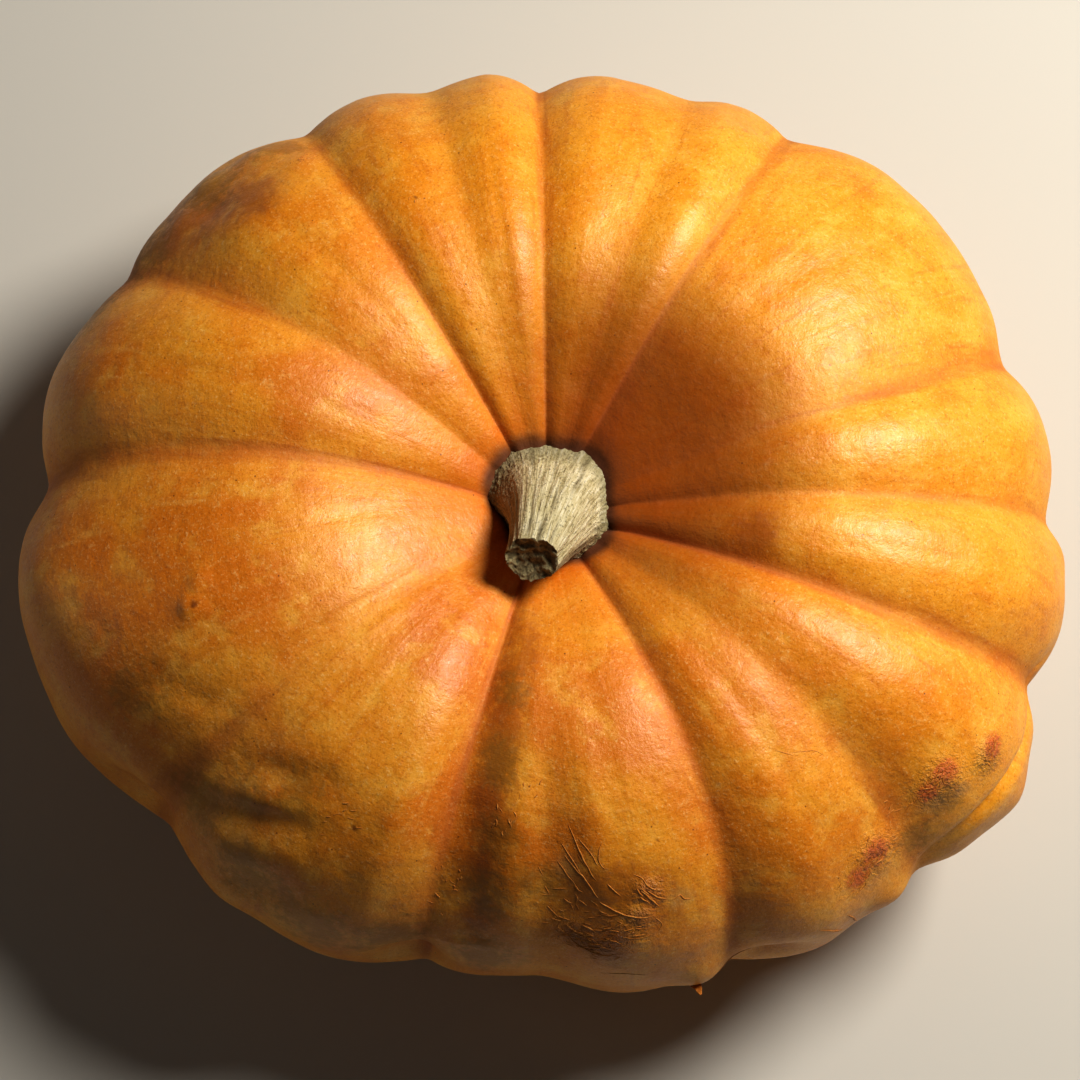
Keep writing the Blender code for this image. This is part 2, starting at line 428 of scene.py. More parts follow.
def inward_direction(reach, polar):
    """Unit vector (radial, vertical) into the body, square to its outline."""
    step = 1e-3
    r_before, z_before = body_outline(reach, polar - step)
    r_after, z_after = body_outline(reach, polar + step)
    length = np.hypot(r_after - r_before, z_after - z_before)
    return (z_after - z_before) / length, (r_before - r_after) / length


def rib_azimuth(rib_place, polar):
    """Azimuth of a place among the ribs: whole numbers are grooves."""
    stem_deg, equator_deg = (np.array(column) for column in list(zip(*RIBS))[:2])
    groove = np.floor(rib_place).astype(int)
    across = rib_place - groove
    after = (groove + 1) % len(RIBS)
    groove %= len(RIBS)
    turn = np.where(after == 0, 360, 0)
    at_stem = stem_deg[groove] + across * (stem_deg[after] + turn - stem_deg[groove])
    at_equator = equator_deg[groove] + across * (equator_deg[after] + turn - equator_deg[groove])
    down = smoothstep(polar / (math.pi / 2))
    return np.radians(at_stem + down * (at_equator - at_stem))


def fruit_surface(rib_place, polar):
    """Points of the ribbed skin about the fruit's own axis, and how deep in a groove each is."""
    depth_mm, reach_mm, stem_share, full_deg, roundness = (
        np.array(column) for column in list(zip(*RIBS))[2:]
    )
    count = len(RIBS)
    groove = np.floor(rib_place).astype(int)
    side = 2 * (rib_place - groove) - 1
    nearest = np.where(side < 0, groove, groove + 1) % count
    run_out_deg = full_deg[nearest] - RUN_OUT_START_DEG
    run_out = smoothstep((np.degrees(polar) - RUN_OUT_START_DEG) / run_out_deg)
    strength = stem_share[nearest] + (1 - stem_share[nearest]) * run_out
    # The groove's bottom is rounded, so that it isn't a knife cut
    rounding = roundness[nearest]
    from_groove = np.hypot(1 - np.abs(side), rounding) - rounding
    valley = np.maximum(1 - from_groove, 0) ** GROOVE_SHARPNESS
    depth = MM * depth_mm[nearest] * strength * valley * np.sin(polar) ** GROOVE_FADE_POWER

    crest_place = rib_place - 0.5
    crest = np.floor(crest_place).astype(int)
    mix = smoothstep(crest_place - crest)
    reach = MM * (reach_mm[crest % count] * (1 - mix) + reach_mm[(crest + 1) % count] * mix)

    radius, height = body_outline(reach, polar)
    inward_r, inward_z = inward_direction(reach, polar)
    radius = radius + depth * inward_r
    height = height + depth * inward_z
    azimuth = rib_azimuth(rib_place, polar)
    points = np.stack([radius * np.cos(azimuth), radius * np.sin(azimuth), height], axis=-1)
    return points, valley**2 * strength * depth_mm[nearest] / FULL_TINT_DEPTH_MM


def rib_places(turn_deg):
    """Where evenly spaced meridians lie among the ribs, with one meridian on each groove."""
    equator_deg = [row[1] for row in RIBS]
    step = 360 / FRUIT_MERIDIANS
    on_groove = [round(deg / step) * step for deg in equator_deg]
    first = on_groove[0]
    turned = first + (turn_deg - first) % 360
    return np.interp(turned, on_groove + [first + 360], list(range(len(RIBS) + 1)))


def skin_point(azimuth_deg, polar_deg):
    """The point of the plain ribbed skin at an azimuth and an angle from the top."""
    places = np.linspace(0, len(RIBS), PLACES_LOOKED_UP)
    polar = math.radians(polar_deg)
    azimuths = np.degrees(rib_azimuth(places[:-1], np.full(len(places) - 1, polar)))
    first = azimuths[0]
    wanted = first + (azimuth_deg - first) % 360
    place = np.interp(wanted, list(azimuths) + [first + 360], places)
    points, _ = fruit_surface(np.array([place]), np.array([polar]))
    return points[0]


def spot(points, azimuth_deg, polar_deg, radius_mm):
    """How near each point is to a place on the skin, from 1 there to 0 well outside it."""
    away = np.linalg.norm(points - skin_point(azimuth_deg, polar_deg), axis=1)
    return np.exp(-((away / (radius_mm * MM)) ** 2))


def marks(points, patches):
    """The strongest of several spots at each point."""
    return np.max([spot(points, *patch) for patch in patches], axis=0)


def smooth_path(places, step):
    """Points about this far apart on a smooth curve through places on the plain skin."""
    ends = [skin_point(*place) for place in places]
    path = []
    for index in range(len(ends) - 1):
        before = ends[max(index - 1, 0)]
        start, finish = ends[index], ends[index + 1]
        after = ends[min(index + 2, len(ends) - 1)]
        count = max(2, int(np.linalg.norm(finish - start) / step))
        for share in np.arange(count) / count:
            leaving = (finish - before) / 2
            arriving = (after - start) / 2
            path.append(
                start * (2 * share**3 - 3 * share**2 + 1)
                + finish * (3 * share**2 - 2 * share**3)
                + leaving * (share**3 - 2 * share**2 + share)
                + arriving * (share**3 - share**2)
            )
    path.append(ends[-1])
    return np.array(path)


def fold(points, half_width_mm, places):
    """How near each point is to a fold's middle, fading out at the fold's two ends."""
    path = smooth_path(places, FOLD_STEP)
    squared = ((points[:, None, :] - path[None, :, :]) ** 2).sum(axis=2)
    nearest = squared.argmin(axis=1)
    away = np.sqrt(squared.min(axis=1))
    strength = np.sin(math.pi * (nearest + 0.5) / len(path)) ** FOLD_FADE_POWER
    return strength * np.exp(-((away / (half_width_mm * MM)) ** 2))


def srgb(code):
    """An sRGB hex colour as linear values, opaque."""
    values = [int(code[i : i + 2], 16) / 255 for i in (1, 3, 5)]
    linear = [v / 12.92 if v <= 0.04045 else ((v + 0.055) / 1.055) ** 2.4 for v in values]
    return (*linear, 1)


def add(tree, kind, inputs=None, **settings):
    """Adds a node. An input takes a value, or another node's output to link."""
    node = tree.nodes.new(kind)
    for name, value in settings.items():
        setattr(node, name, value)
    for name, value in (inputs or {}).items():
        if isinstance(value, bpy.types.NodeSocket):
            tree.links.new(value, node.inputs[name])
        else:
            node.inputs[name].default_value = value
    return node


def attribute(mesh, name, values):
    """Stores a number or a vector at each vertex, for the materials to read."""
    values = np.asarray(values, np.float32)
    kind, field = ("FLOAT", "value") if values.ndim == 1 else ("FLOAT_VECTOR", "vector")
    layer = mesh.attributes.new(name, kind, "POINT")
    layer.data.foreach_set(field, values.ravel())


# ---------------------------------------------------------------- pieces

def mesh_of(cage, name):
    mesh = bpy.data.meshes.new(name)
    cage.to_mesh(mesh)
    cage.free()
    mesh.shade_smooth()
    return mesh


def add_object(data):
    piece = bpy.data.objects.new(data.name, data)
    bpy.context.collection.objects.link(piece)
    return piece


def add_piece(data, material, node=None):
    """Adds a piece that rides on the one body, and that may stand for a CAD node."""
    data.materials.append(material)
    piece = add_object(data)
    if node:
        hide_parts(node)
    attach(piece, "root")


def skin_swell(points, radius):
    """How far the skin stands out from the plain ribbed body: undulation, lumps and folds."""
    away_from_stem = smoothstep((radius - CALM_RADIUS) / CALM_EDGE)
    swell = np.zeros(len(points))
    for height_mm, lump_mm, seed, stem_share in UNDULATIONS:
        share = stem_share + (1 - stem_share) * away_from_stem
        swell += height_mm * MM * share * noise_at(points, lump_mm * MM, seed)
    for azimuth_deg, polar_deg, radius_mm, height_mm in LUMPS:
        swell += height_mm * MM * spot(points, azimuth_deg, polar_deg, radius_mm)
    for height_mm, half_width_mm, places in FOLDS:
        swell += height_mm * MM * fold(points, half_width_mm, places)
    return swell


def make_fruit():
    """The whole rind. Returns a tree that finds the nearest place on its skin."""
    cage = bmesh.new()
    bmesh.ops.create_uvsphere(
        cage, u_segments=FRUIT_MERIDIANS, v_segments=FRUIT_RINGS, radius=1
    )
    ball = np.array([vert.co for vert in cage.verts])
    smallest = 0.01
    polar = np.clip(np.arccos(np.clip(ball[:, 2], -1, 1)), smallest, math.pi - smallest)
    turn_deg = np.degrees(np.arctan2(ball[:, 1], ball[:, 0]))
    at_pole = np.hypot(ball[:, 0], ball[:, 1]) < 1e-6
    plain, near_groove = fruit_surface(rib_places(turn_deg), polar)
    plain[at_pole, :2] = 0
    near_groove[at_pole] = 0
    outward = plain - np.array([0, 0, EQUATOR_Z])
    outward /= np.linalg.norm(outward, axis=1)[:, None]
    radius = np.hypot(plain[:, 0], plain[:, 1])
    azimuth = np.arctan2(plain[:, 1], plain[:, 0])
    points = plain + outward * skin_swell(plain, radius)[:, None]
    on_top = points[:, 2] > EQUATOR_Z
    for azimuth_deg, polar_deg, radius_mm, height_mm in RISES:
        points[:, 2] += height_mm * MM * spot(plain, azimuth_deg, polar_deg, radius_mm)
    foot = stem_radius(0, azimuth - math.radians(STEM_LEAN_AZIMUTH_DEG))
    from_foot = (radius - foot - CREVICE_OFFSET) / CREVICE_HALF_WIDTH
    crevice = np.exp(-(from_foot**2)) * on_top
    points[:, 2] -= CREVICE_DEPTH * crevice
    points[:, 2] = np.maximum(points[:, 2], 0)
    points += np.array([SEAT.x, SEAT.y, 0])
    for vert, place in zip(cage.verts, points):
        vert.co = place
    tree = BVHTree.FromBMesh(cage)

    mesh = mesh_of(cage, "fruit_skin")
    # Painted light and shade: the dish's wall that faces away from the light, a stripe down one
    # rib, and the two sides, yellower towards the light and redder away from it
    wall_shade_side = 0.5 + 0.5 * np.cos(azimuth - math.radians(WALL_SHADE_DEG))
    inside_wall = np.exp(-((radius / WALL_SHADE_RADIUS) ** 4)) * on_top
    past_groove_deg = np.degrees(azimuth) % 360 - SHADE_STRIPE_START_DEG
    shade_stripe = fold(plain, SHADE_STRIPE_HALF_WIDTH_MM, SHADE_STRIPE)
    shade_stripe *= smoothstep(past_groove_deg / SHADE_STRIPE_EDGE_DEG)
    around = AROUND_RADIUS * np.stack([np.cos(azimuth), np.sin(azimuth)], axis=-1)
    masks = {
        "near_groove": near_groove,
        "dish_shade": np.exp(-((radius / DISH_SHADE_RADIUS) ** 2)) * on_top,
        "wall_shade": inside_wall * wall_shade_side**2,
        "crevice": crevice,
        "down": polar / math.pi,
        "side_shade": 0.5 - 0.5 * np.cos(azimuth - math.radians(PAINTED_LIGHT_DEG)),
        "olive": marks(plain, OLIVE_PATCHES),
        "browned_and_shaded": np.maximum(marks(plain, BROWN_PATCHES), shade_stripe),
        "scuff": marks(plain, RED_SCUFFS),
        "bruise": marks(plain, GREY_BRUISES),
        "nick": marks(plain, BROWN_NICKS),
        "scarred": marks(plain, SCARRED_SKIN),
        "rib_place": np.hstack([around, DOWN_RADIUS * polar[:, None]]),
    }
    for name, values in masks.items():
        attribute(mesh, name, values)
    add_piece(mesh, rind(), "fruit")
    return tree


def short_scratches():
    """Rows like those of SCRATCHES for the groups of short scratches, the same ones each time."""
    draw = random.Random(SHORT_SCRATCH_SEED)
    rows = []
    for azimuth_deg, polar_deg, radius_mm, count, length_mm, heading_deg in SCRATCH_GROUPS:
        middle = skin_point(azimuth_deg, polar_deg)
        mm_per_azimuth_deg = math.hypot(middle[0], middle[1]) * math.radians(1) / MM
        mm_per_polar_deg = np.linalg.norm(skin_point(azimuth_deg, polar_deg + 1) - middle) / MM
        for _ in range(count):
            across = draw.gauss(0, SHORT_SCRATCH_SCATTER * radius_mm)
            down = draw.gauss(0, SHORT_SCRATCH_SCATTER * radius_mm)
            heading = math.radians(heading_deg + draw.gauss(0, SHORT_SCRATCH_TURN_DEG))
            half = 0.5 * length_mm * draw.uniform(*SHORT_SCRATCH_LENGTHS)
            bow = draw.uniform(-SHORT_SCRATCH_BOW, SHORT_SCRATCH_BOW) * half
            path = []
            for share in (-1, 0, 1):
                right = across + share * half * math.cos(heading) - (1 - abs(share)) * bow
                lower = down - share * half * math.sin(heading)
                path.append(
                    (azimuth_deg + right / mm_per_azimuth_deg, polar_deg + lower / mm_per_polar_deg)
                )
            rows.append((SHORT_SCRATCH_MM * draw.uniform(*SHORT_SCRATCH_SIZES), path))
    return rows


def make_scratches(tree):
    """Dry raised scratches, each a thin tapering ridge partly sunk in the skin."""
    curve = bpy.data.curves.new("corky_scratches", "CURVE")
    curve.dimensions = "3D"
    # A point's own radius is then in mm
    curve.bevel_depth = 1 * MM
    curve.bevel_resolution = 2
    curve.use_fill_caps = True
    for number, (size_mm, places) in enumerate([*SCRATCHES, *short_scratches()]):
        path = smooth_path(places, SCRATCH_STEP)
        wobble = [noise_at(path, SCRATCH_WOBBLE_SIZE, 3 * number + axis) for axis in range(3)]
        path += SCRATCH_WOBBLE * np.stack(wobble, axis=-1) + np.array([SEAT.x, SEAT.y, 0])
        spline = curve.splines.new("POLY")
        spline.points.add(len(path) - 1)
        for index, place in enumerate(path):
            on_skin, normal, _, _ = tree.find_nearest(Vector(place))
            share = (index + 0.5) / len(path)
            ridge_mm = RIDGE_SHARE * size_mm * math.sin(math.pi * share) ** RIDGE_TAPER_POWER
            ridge_mm *= 1 + RIDGE_UNEVENNESS * noise.noise(Vector(place) / RIDGE_LUMP_SIZE)
            spline.points[index].co = (*(on_skin - RIDGE_SINK * ridge_mm * MM * normal), 1)
            spline.points[index].radius = ridge_mm
    add_piece(curve, dry_scar())


def make_flake(tree):
    """A curled flake of dry skin low on the front."""
    cage = bmesh.new()
    bmesh.ops.create_grid(cage, x_segments=12, y_segments=8, size=1)
    start = Vector(skin_point(FLAKE_AZIMUTH_DEG, FLAKE_POLAR_DEG) + np.array([SEAT.x, SEAT.y, 0]))
    root, normal, _, _ = tree.find_nearest(start)
    along = normal.cross(Vector((0, 0, 1))).normalized()
    upward = along.cross(normal).normalized()
    for vert in cage.verts:
        share = (vert.co.x + 1) / 2
        half_width = FLAKE_HALF_WIDTH * (1 - FLAKE_TAPER * share)
        ragged = FLAKE_RAGGEDNESS * noise.noise(vert.co * FLAKE_RAGGED_LUMPS)
        vert.co = (
            root
            + upward * (FLAKE_LENGTH * share - FLAKE_BELOW_ROOT)
            + along * (half_width * vert.co.y + ragged)
            + normal * (FLAKE_CURL * share**FLAKE_CURL_POWER + ragged)
        )
    bmesh.ops.solidify(cage, geom=cage.faces[:], thickness=FLAKE_THICKNESS)
    bmesh.ops.recalc_face_normals(cage, faces=cage.faces)
    add_piece(mesh_of(cage, "skin_flake"), dry_scar())


def stem_spine(along):
    """Sideways travel, height and lean of the stem's spine, an arc that leans more as it rises."""
    first = math.radians(STEM_FOOT_LEAN_DEG)
    last = math.radians(STEM_END_LEAN_DEG)
    bend_radius = STEM_LENGTH / (last - first)
    lean = first + (last - first) * along
    travel = bend_radius * (math.cos(first) - np.cos(lean))
    height = bend_radius * (np.sin(lean) - math.sin(first))
    return travel, height, lean


def stem_radius(along, turn):
    """Radius of the bare cone: fuller on one side, with blunt corners and a lip at the foot."""
    power = STEM_FLARE_POWER + STEM_FLARE_LEAN * np.sin(turn)
    flare = (STEM_FOOT_RADIUS - STEM_END_RADIUS) * (1 - along) ** power
    corner = turn - math.radians(STEM_CORNER_AZIMUTH_DEG - STEM_LEAN_AZIMUTH_DEG)
    corners = sum(share * np.cos(count * corner + first) for count, share, first in STEM_CORNERS)
    lip = STEM_LIP_SHARE * np.exp(-((along / STEM_LIP_LENGTH) ** 2))
    off_bare_side = turn - math.radians(STEM_BARE_SIDE_DEG - STEM_LEAN_AZIMUTH_DEG)
    off_bare_side = np.arctan2(np.sin(off_bare_side), np.cos(off_bare_side))
    bare = STEM_BARE_SHARE * np.exp(-((off_bare_side / STEM_BARE_SPREAD) ** 2)) * (1 - along)
    return (STEM_END_RADIUS + flare) * (1 + corners * (1 - STEM_CORNER_FADE * along) + lip - bare)


def make_stem():
    """The dry stem: a ball drawn out, with its upper pole in the middle of the torn end."""
    cage = bmesh.new()
    bmesh.ops.create_uvsphere(cage, u_segments=STEM_SIDES, v_segments=STEM_RINGS, radius=1)
    ball = np.array([vert.co for vert in cage.verts])
    turn = np.arctan2(ball[:, 1], ball[:, 0])
    ring = np.arccos(np.clip(ball[:, 2], -1, 1)) / math.pi * STEM_RINGS
    end_share = np.clip(ring / STEM_END_RINGS, 0, 1)
    foot_share = np.clip((STEM_RINGS - ring) / STEM_FOOT_RINGS, 0, 1)
    wall_rings = STEM_RINGS - STEM_END_RINGS - STEM_FOOT_RINGS
    along = np.clip(1 - (ring - STEM_END_RINGS) / wall_rings, 0, 1)

    across = end_share * np.stack([np.cos(turn), np.sin(turn)])
    fibre_place = FIBRE_RADIUS * np.stack([*across, FIBRE_STRETCH * along], axis=-1)
    grain_place = fibre_place * np.array([1, 1, GRAIN_UNSTRETCH])
    fibres = [noise_at(fibre_place, lump_mm * MM, seed) for lump_mm, _, seed in FIBRES]
    grains = [noise_at(grain_place, lump_mm * MM, seed) for lump_mm, _, seed in GRAINS]
    fibrous = sum(height_mm * MM * lumps for (_, height_mm, _), lumps in zip(FIBRES, fibres))
    grainy = sum(height_mm * MM * lumps for (_, height_mm, _), lumps in zip(GRAINS, grains))
    near_foot = np.exp(-((along / GRAINY_LENGTH) ** 2))
    relief = fibrous * (1 - near_foot) + grainy * near_foot + GRAIN_ON_SHANK * grains[0]
    off_hollow = turn - math.radians(STEM_HOLLOW_DEG - STEM_LEAN_AZIMUTH_DEG)
    hollow_side = np.exp(-((off_hollow / STEM_HOLLOW_SPREAD) ** 2))
    hollow_side *= np.exp(-(((along - STEM_HOLLOW_ALONG) / STEM_HOLLOW_LENGTH) ** 2))
    relief -= STEM_HOLLOW_DEPTH * hollow_side
    radius = stem_radius(along, turn) + relief
    radius *= end_share**END_SPREAD_POWER * foot_share**FOOT_SPREAD_POWER

    travel, height, lean = stem_spine(along)
    tilt = STEM_CUT_SHARE * lean * smoothstep(along / STEM_SQUARE_SHARE)
    forward = radius * np.cos(turn)
    sideways = radius * np.sin(turn)
    cut_place = np.stack([forward, sideways, np.zeros(len(radius))], axis=-1)
    torn = sum(
        share * noise_at(cut_place, lump_mm * MM, seed) for lump_mm, share, seed in TORN_LUMPS
    )
    on_cut = ring < STEM_END_RINGS + 1
    torn_share = TORN_MIDDLE_SHARE + (1 - TORN_MIDDLE_SHARE) * end_share
    hollow = TORN_HEIGHT * torn * torn_share - END_HOLLOW_DEPTH * (1 - end_share**2)
    rim = RIM_HEIGHT * noise_at(fibre_place, RIM_LUMP_SIZE, RIM_SEED)
    rim *= smoothstep((along - 1 + RIM_SHARE) / RIM_SHARE)
    lift = rim + np.where(on_cut, hollow, 0)
    ahead = travel + forward * np.cos(tilt) + lift * np.sin(tilt)
    up = height - forward * np.sin(tilt) + lift * np.cos(tilt)
    heading = math.radians(STEM_LEAN_AZIMUTH_DEG)
    x = SEAT.x + ahead * math.cos(heading) - sideways * math.sin(heading)
    y = SEAT.y + ahead * math.sin(heading) + sideways * math.cos(heading)
    for vert, place in zip(cage.verts, zip(x, y, SEAT.z + up)):
        vert.co = place

    mesh = mesh_of(cage, "dry_stem")
    furrows = sum(share * lumps for share, lumps in zip(FURROW_SHARES, fibres))
    left_flank = np.clip(-np.sin(turn + STAIN_TURN), 0, 1) ** 3
    masks = {
        "ridge": 0.5 + 0.5 * np.clip(furrows, -1, 1),
        "cut": np.where(on_cut, 1 - END_RIM_FADE * end_share, 0),
        "torn": 0.5 + 0.5 * np.clip(torn, -1, 1),
        "near_foot": near_foot,
        # A brown stain on one flank, and in the hollow beside the foot brown stain with painted
        # shade
        "stained_and_shaded": np.maximum(left_flank, hollow_side),
        "fibre_place": fibre_place,
    }
    for name, values in masks.items():
        attribute(mesh, name, values)
    add_piece(mesh, cork(), "stem")


# ---------------------------------------------------------------- materials

def new_material(name):
    material = bpy.data.materials.new(name)
    material.use_nodes = True
    return material, material.node_tree, material.node_tree.nodes["Principled BSDF"]


def layered(tree, colour, layers):
    """Lays colours over a first one, each where its mask says and as strongly as its share."""
    for mask, low, high, share, code in layers:
        part = add(
            tree,
            "ShaderNodeMapRange",
            {"Value": mask, "From Min": low, "From Max": high, "To Max": share},
            interpolation_type="SMOOTHSTEP",
        )
        laid = add(
            tree,
            "ShaderNodeMix",
            {0: part.outputs[0], 6: colour, 7: srgb(code)},
            data_type="RGBA",
        )
        colour = laid.outputs[2]
    return colour


def summed(tree, parts):
    """The sum of several heights, each socket times its own size in mm."""
    total = 0.0
    for height, size_mm in parts:
        step = add(
            tree,
            "ShaderNodeMath",
            {0: height, 1: size_mm, 2: total},
            operation="MULTIPLY_ADD",
        )
        total = step.outputs[0]
    return total


def rind():
    """Ripe winter-squash rind: a thin waxy skin grown over the flesh, so it is smooth and softly
    glossy, with pores and fine cross wrinkles that break the sheen into grain."""
    material, tree, shader = new_material("waxy_pumpkin_rind")
    place = add(tree, "ShaderNodeTexCoord").outputs["Object"]
    rib_place = add(tree, "ShaderNodeAttribute", attribute_name="rib_place").outputs["Vector"]
    mask = {
        name: add(tree, "ShaderNodeAttribute", attribute_name=name).outputs["Fac"]
        for name in (
            "near_groove", "dish_shade", "wall_shade", "crevice", "olive", "browned_and_shaded", "side_shade",
            "scuff", "bruise", "nick", "scarred", "down",
        )
    }

    # Pattern sizes in metres: one noise unit is about one lump
    sizes = {
        "clouds": (place, 45 * MM, 3, 0.5),
        "mottle": (place, 14 * MM, 5, 0.6),
        "freckle": (place, 3.2 * MM, 4, 0.65),
        "grain": (place, 1.3 * MM, 3, 0.7),
        "pore": (place, 0.85 * MM, 2, 0.6),
        "dimple": (place, 7 * MM, 2, 0.5),
    }
    noises = {
        name: add(
            tree,
            "ShaderNodeTexNoise",
            {"Vector": vector, "Scale": 1 / size, "Detail": detail, "Roughness": roughness},
        ).outputs["Fac"]
        for name, (vector, size, detail, roughness) in sizes.items()
    }
    # Patterns that follow the ribs, in lumps per metre: two numbers for round the fruit and one
    # for down it. Wrinkles run across the ribs, 9 mm long and 1.1 mm apart, and streaks run down
    # them, 60 mm long and 4 mm apart.
    wrinkle, streak = (
        add(
            tree,
            "ShaderNodeTexNoise",
            {
                "Vector": add(
                    tree, "ShaderNodeMapping", {"Vector": rib_place, "Scale": lumps_per_metre}
                ).outputs[0],
                "Scale": 1.0,
                "Detail": detail,
                "Roughness": roughness,
                "Distortion": distortion,
            },
        ).outputs["Fac"]
        for lumps_per_metre, detail, roughness, distortion in (
            ((110, 110, 900), 3.0, 0.5, 0.6),
            ((260, 260, 17), 4.0, 0.6, 0.0),
        )
    )
    # Pin specks: the few points of an 8 mm scatter that fall on the skin, under 0.9 mm across
    specks = add(
        tree, "ShaderNodeTexVoronoi", {"Vector": place, "Scale": 1 / (8 * MM)}
    ).outputs["Distance"]
    # Mottle times freckle breaks up the stains, and is brought back to about 1
    speckled = 3.2
    for pattern in (noises["mottle"], noises["freckle"]):
        speckled = add(
            tree, "ShaderNodeMath", {0: pattern, 1: speckled}, operation="MULTIPLY"
        ).outputs[0]
    olive, browned_and_shaded, scuff, scarred_grain, scarred_lumps, streaked_groove_shade = (
        add(tree, "ShaderNodeMath", {0: mask[name], 1: pattern}, operation="MULTIPLY").outputs[0]
        for name, pattern in (
            ("olive", speckled),
            ("browned_and_shaded", speckled),
            ("scuff", noises["grain"]),
            ("scarred", noises["grain"]),
            ("scarred", noises["freckle"]),
            ("near_groove", streak),
        )
    )

    colour = layered(
        tree,
        srgb("#E4931B"),
        (
            # Painted shade in redder orange on the side away from the light, and painted light in
            # yellow on the side towards it
            (mask["side_shade"], 0.1, 0.95, 0.8, "#D2740B"),
            (mask["side_shade"], 0.4, 0.02, 0.35, "#ECA624"),
            (noises["clouds"], 0.42, 0.6, 0.6, "#EFA930"),
            (mask["down"], 0.3, 0.46, 0.5, "#F0A828"),
            (noises["mottle"], 0.5, 0.7, 0.4, "#D6780E"),
            (noises["mottle"], 0.5, 0.32, 0.45, "#F1B94C"),
            (streak, 0.54, 0.7, 0.3, "#C66C0A"),
            (streak, 0.44, 0.28, 0.25, "#F3BC5A"),
            (noises["freckle"], 0.56, 0.72, 0.25, "#F6C674"),
            (noises["freckle"], 0.46, 0.3, 0.28, "#C56A09"),
            (noises["grain"], 0.56, 0.72, 0.4, "#F9D796"),
            (noises["grain"], 0.45, 0.3, 0.32, "#AE5608"),
            (noises["pore"], 0.58, 0.75, 0.25, "#F9D38C"),
            (noises["pore"], 0.44, 0.3, 0.4, "#A85408"),
            # Painted shade in deeper orange in the grooves, the second streaked
            (mask["near_groove"], 0.55, 1.0, 0.35, "#B65A07"),
            (streaked_groove_shade, 0.3, 0.6, 0.3, "#984806"),
            # Painted shade in the dish round the stem, and more on its wall that faces away from
            # the light
            (mask["dish_shade"], 0.2, 1.0, 0.5, "#C96107"),
            (mask["wall_shade"], 0.1, 0.85, 0.85, "#984606"),
            # Brown patches, and a stripe of painted shade down the rib beside one groove
            (browned_and_shaded, 0.12, 0.75, 0.58, "#984C0E"),
            (olive, 0.25, 0.75, 0.5, "#8A641C"),
            (mask["bruise"], 0.3, 0.9, 0.25, "#A58A66"),
            (scuff, 0.2, 0.45, 0.75, "#D2581A"),
            (scarred_grain, 0.3, 0.6, 0.6, "#9A5A1E"),
            (mask["nick"], 0.25, 0.85, 0.8, "#6A3008"),
            (specks, 0.055, 0.03, 0.75, "#6B330A"),
            # Painted shade in the crevice round the stem's foot, with brown discoloration there too
            (mask["crevice"], 0.1, 0.9, 0.9, "#4A2206"),
        ),
    )
    tree.links.new(colour, shader.inputs["Base Color"])

    # The wax is duller by its grain, in the grooves and most of all in the crevice
    roughness = add(
        tree,
        "ShaderNodeMapRange",
        {
            "Value": noises["freckle"],
            "From Min": 0.3,
            "From Max": 0.7,
            "To Min": 0.36,
            "To Max": 0.52,
        },
    ).outputs[0]
    for name, duller in (("near_groove", 0.25), ("crevice", 0.4)):
        roughness = add(
            tree,
            "ShaderNodeMath",
            {0: mask[name], 1: duller, 2: roughness},
            operation="MULTIPLY_ADD",
        ).outputs[0]
    tree.links.new(roughness, shader.inputs["Roughness"])
    shader.inputs["IOR"].default_value = 1.45
    shader.inputs["Specular IOR Level"].default_value = 0.65

    height = summed(
        tree,
        (
            (noises["dimple"], 0.5),
            (noises["freckle"], 0.2),
            (noises["grain"], 0.12),
            (noises["pore"], 0.09),
            (wrinkle, 0.06),
            (streak, 0.12),
            (scarred_grain, 1.2),
            (scarred_lumps, 3.2),
            (scuff, 0.8),
        ),
    )
    # Bump heights above are in mm, so one unit of height is one millimetre
    bump = add(tree, "ShaderNodeBump", {"Height": height, "Distance": MM})
    tree.links.new(bump.outputs[0], shader.inputs["Normal"])
    return material


def dry_scar():
    """Scar cork, grown where the skin was scratched: dry, dull and browner than the rind."""
    material, tree, shader = new_material("healed_scar_cork")
    place = add(tree, "ShaderNodeTexCoord").outputs["Object"]
    grain = add(
        tree, "ShaderNodeTexNoise", {"Vector": place, "Scale": 1 / (1.2 * MM), "Detail": 3.0}
    ).outputs["Fac"]
    colour = layered(
        tree,
        srgb("#BC7422"),
        ((grain, 0.45, 0.7, 0.7, "#D9A050"), (grain, 0.45, 0.25, 0.6, "#96561A")),
    )
    tree.links.new(colour, shader.inputs["Base Color"])
    shader.inputs["Roughness"].default_value = 0.72
    bump = add(tree, "ShaderNodeBump", {"Height": grain, "Distance": 0.2 * MM})
    tree.links.new(bump.outputs[0], shader.inputs["Normal"])
    return material


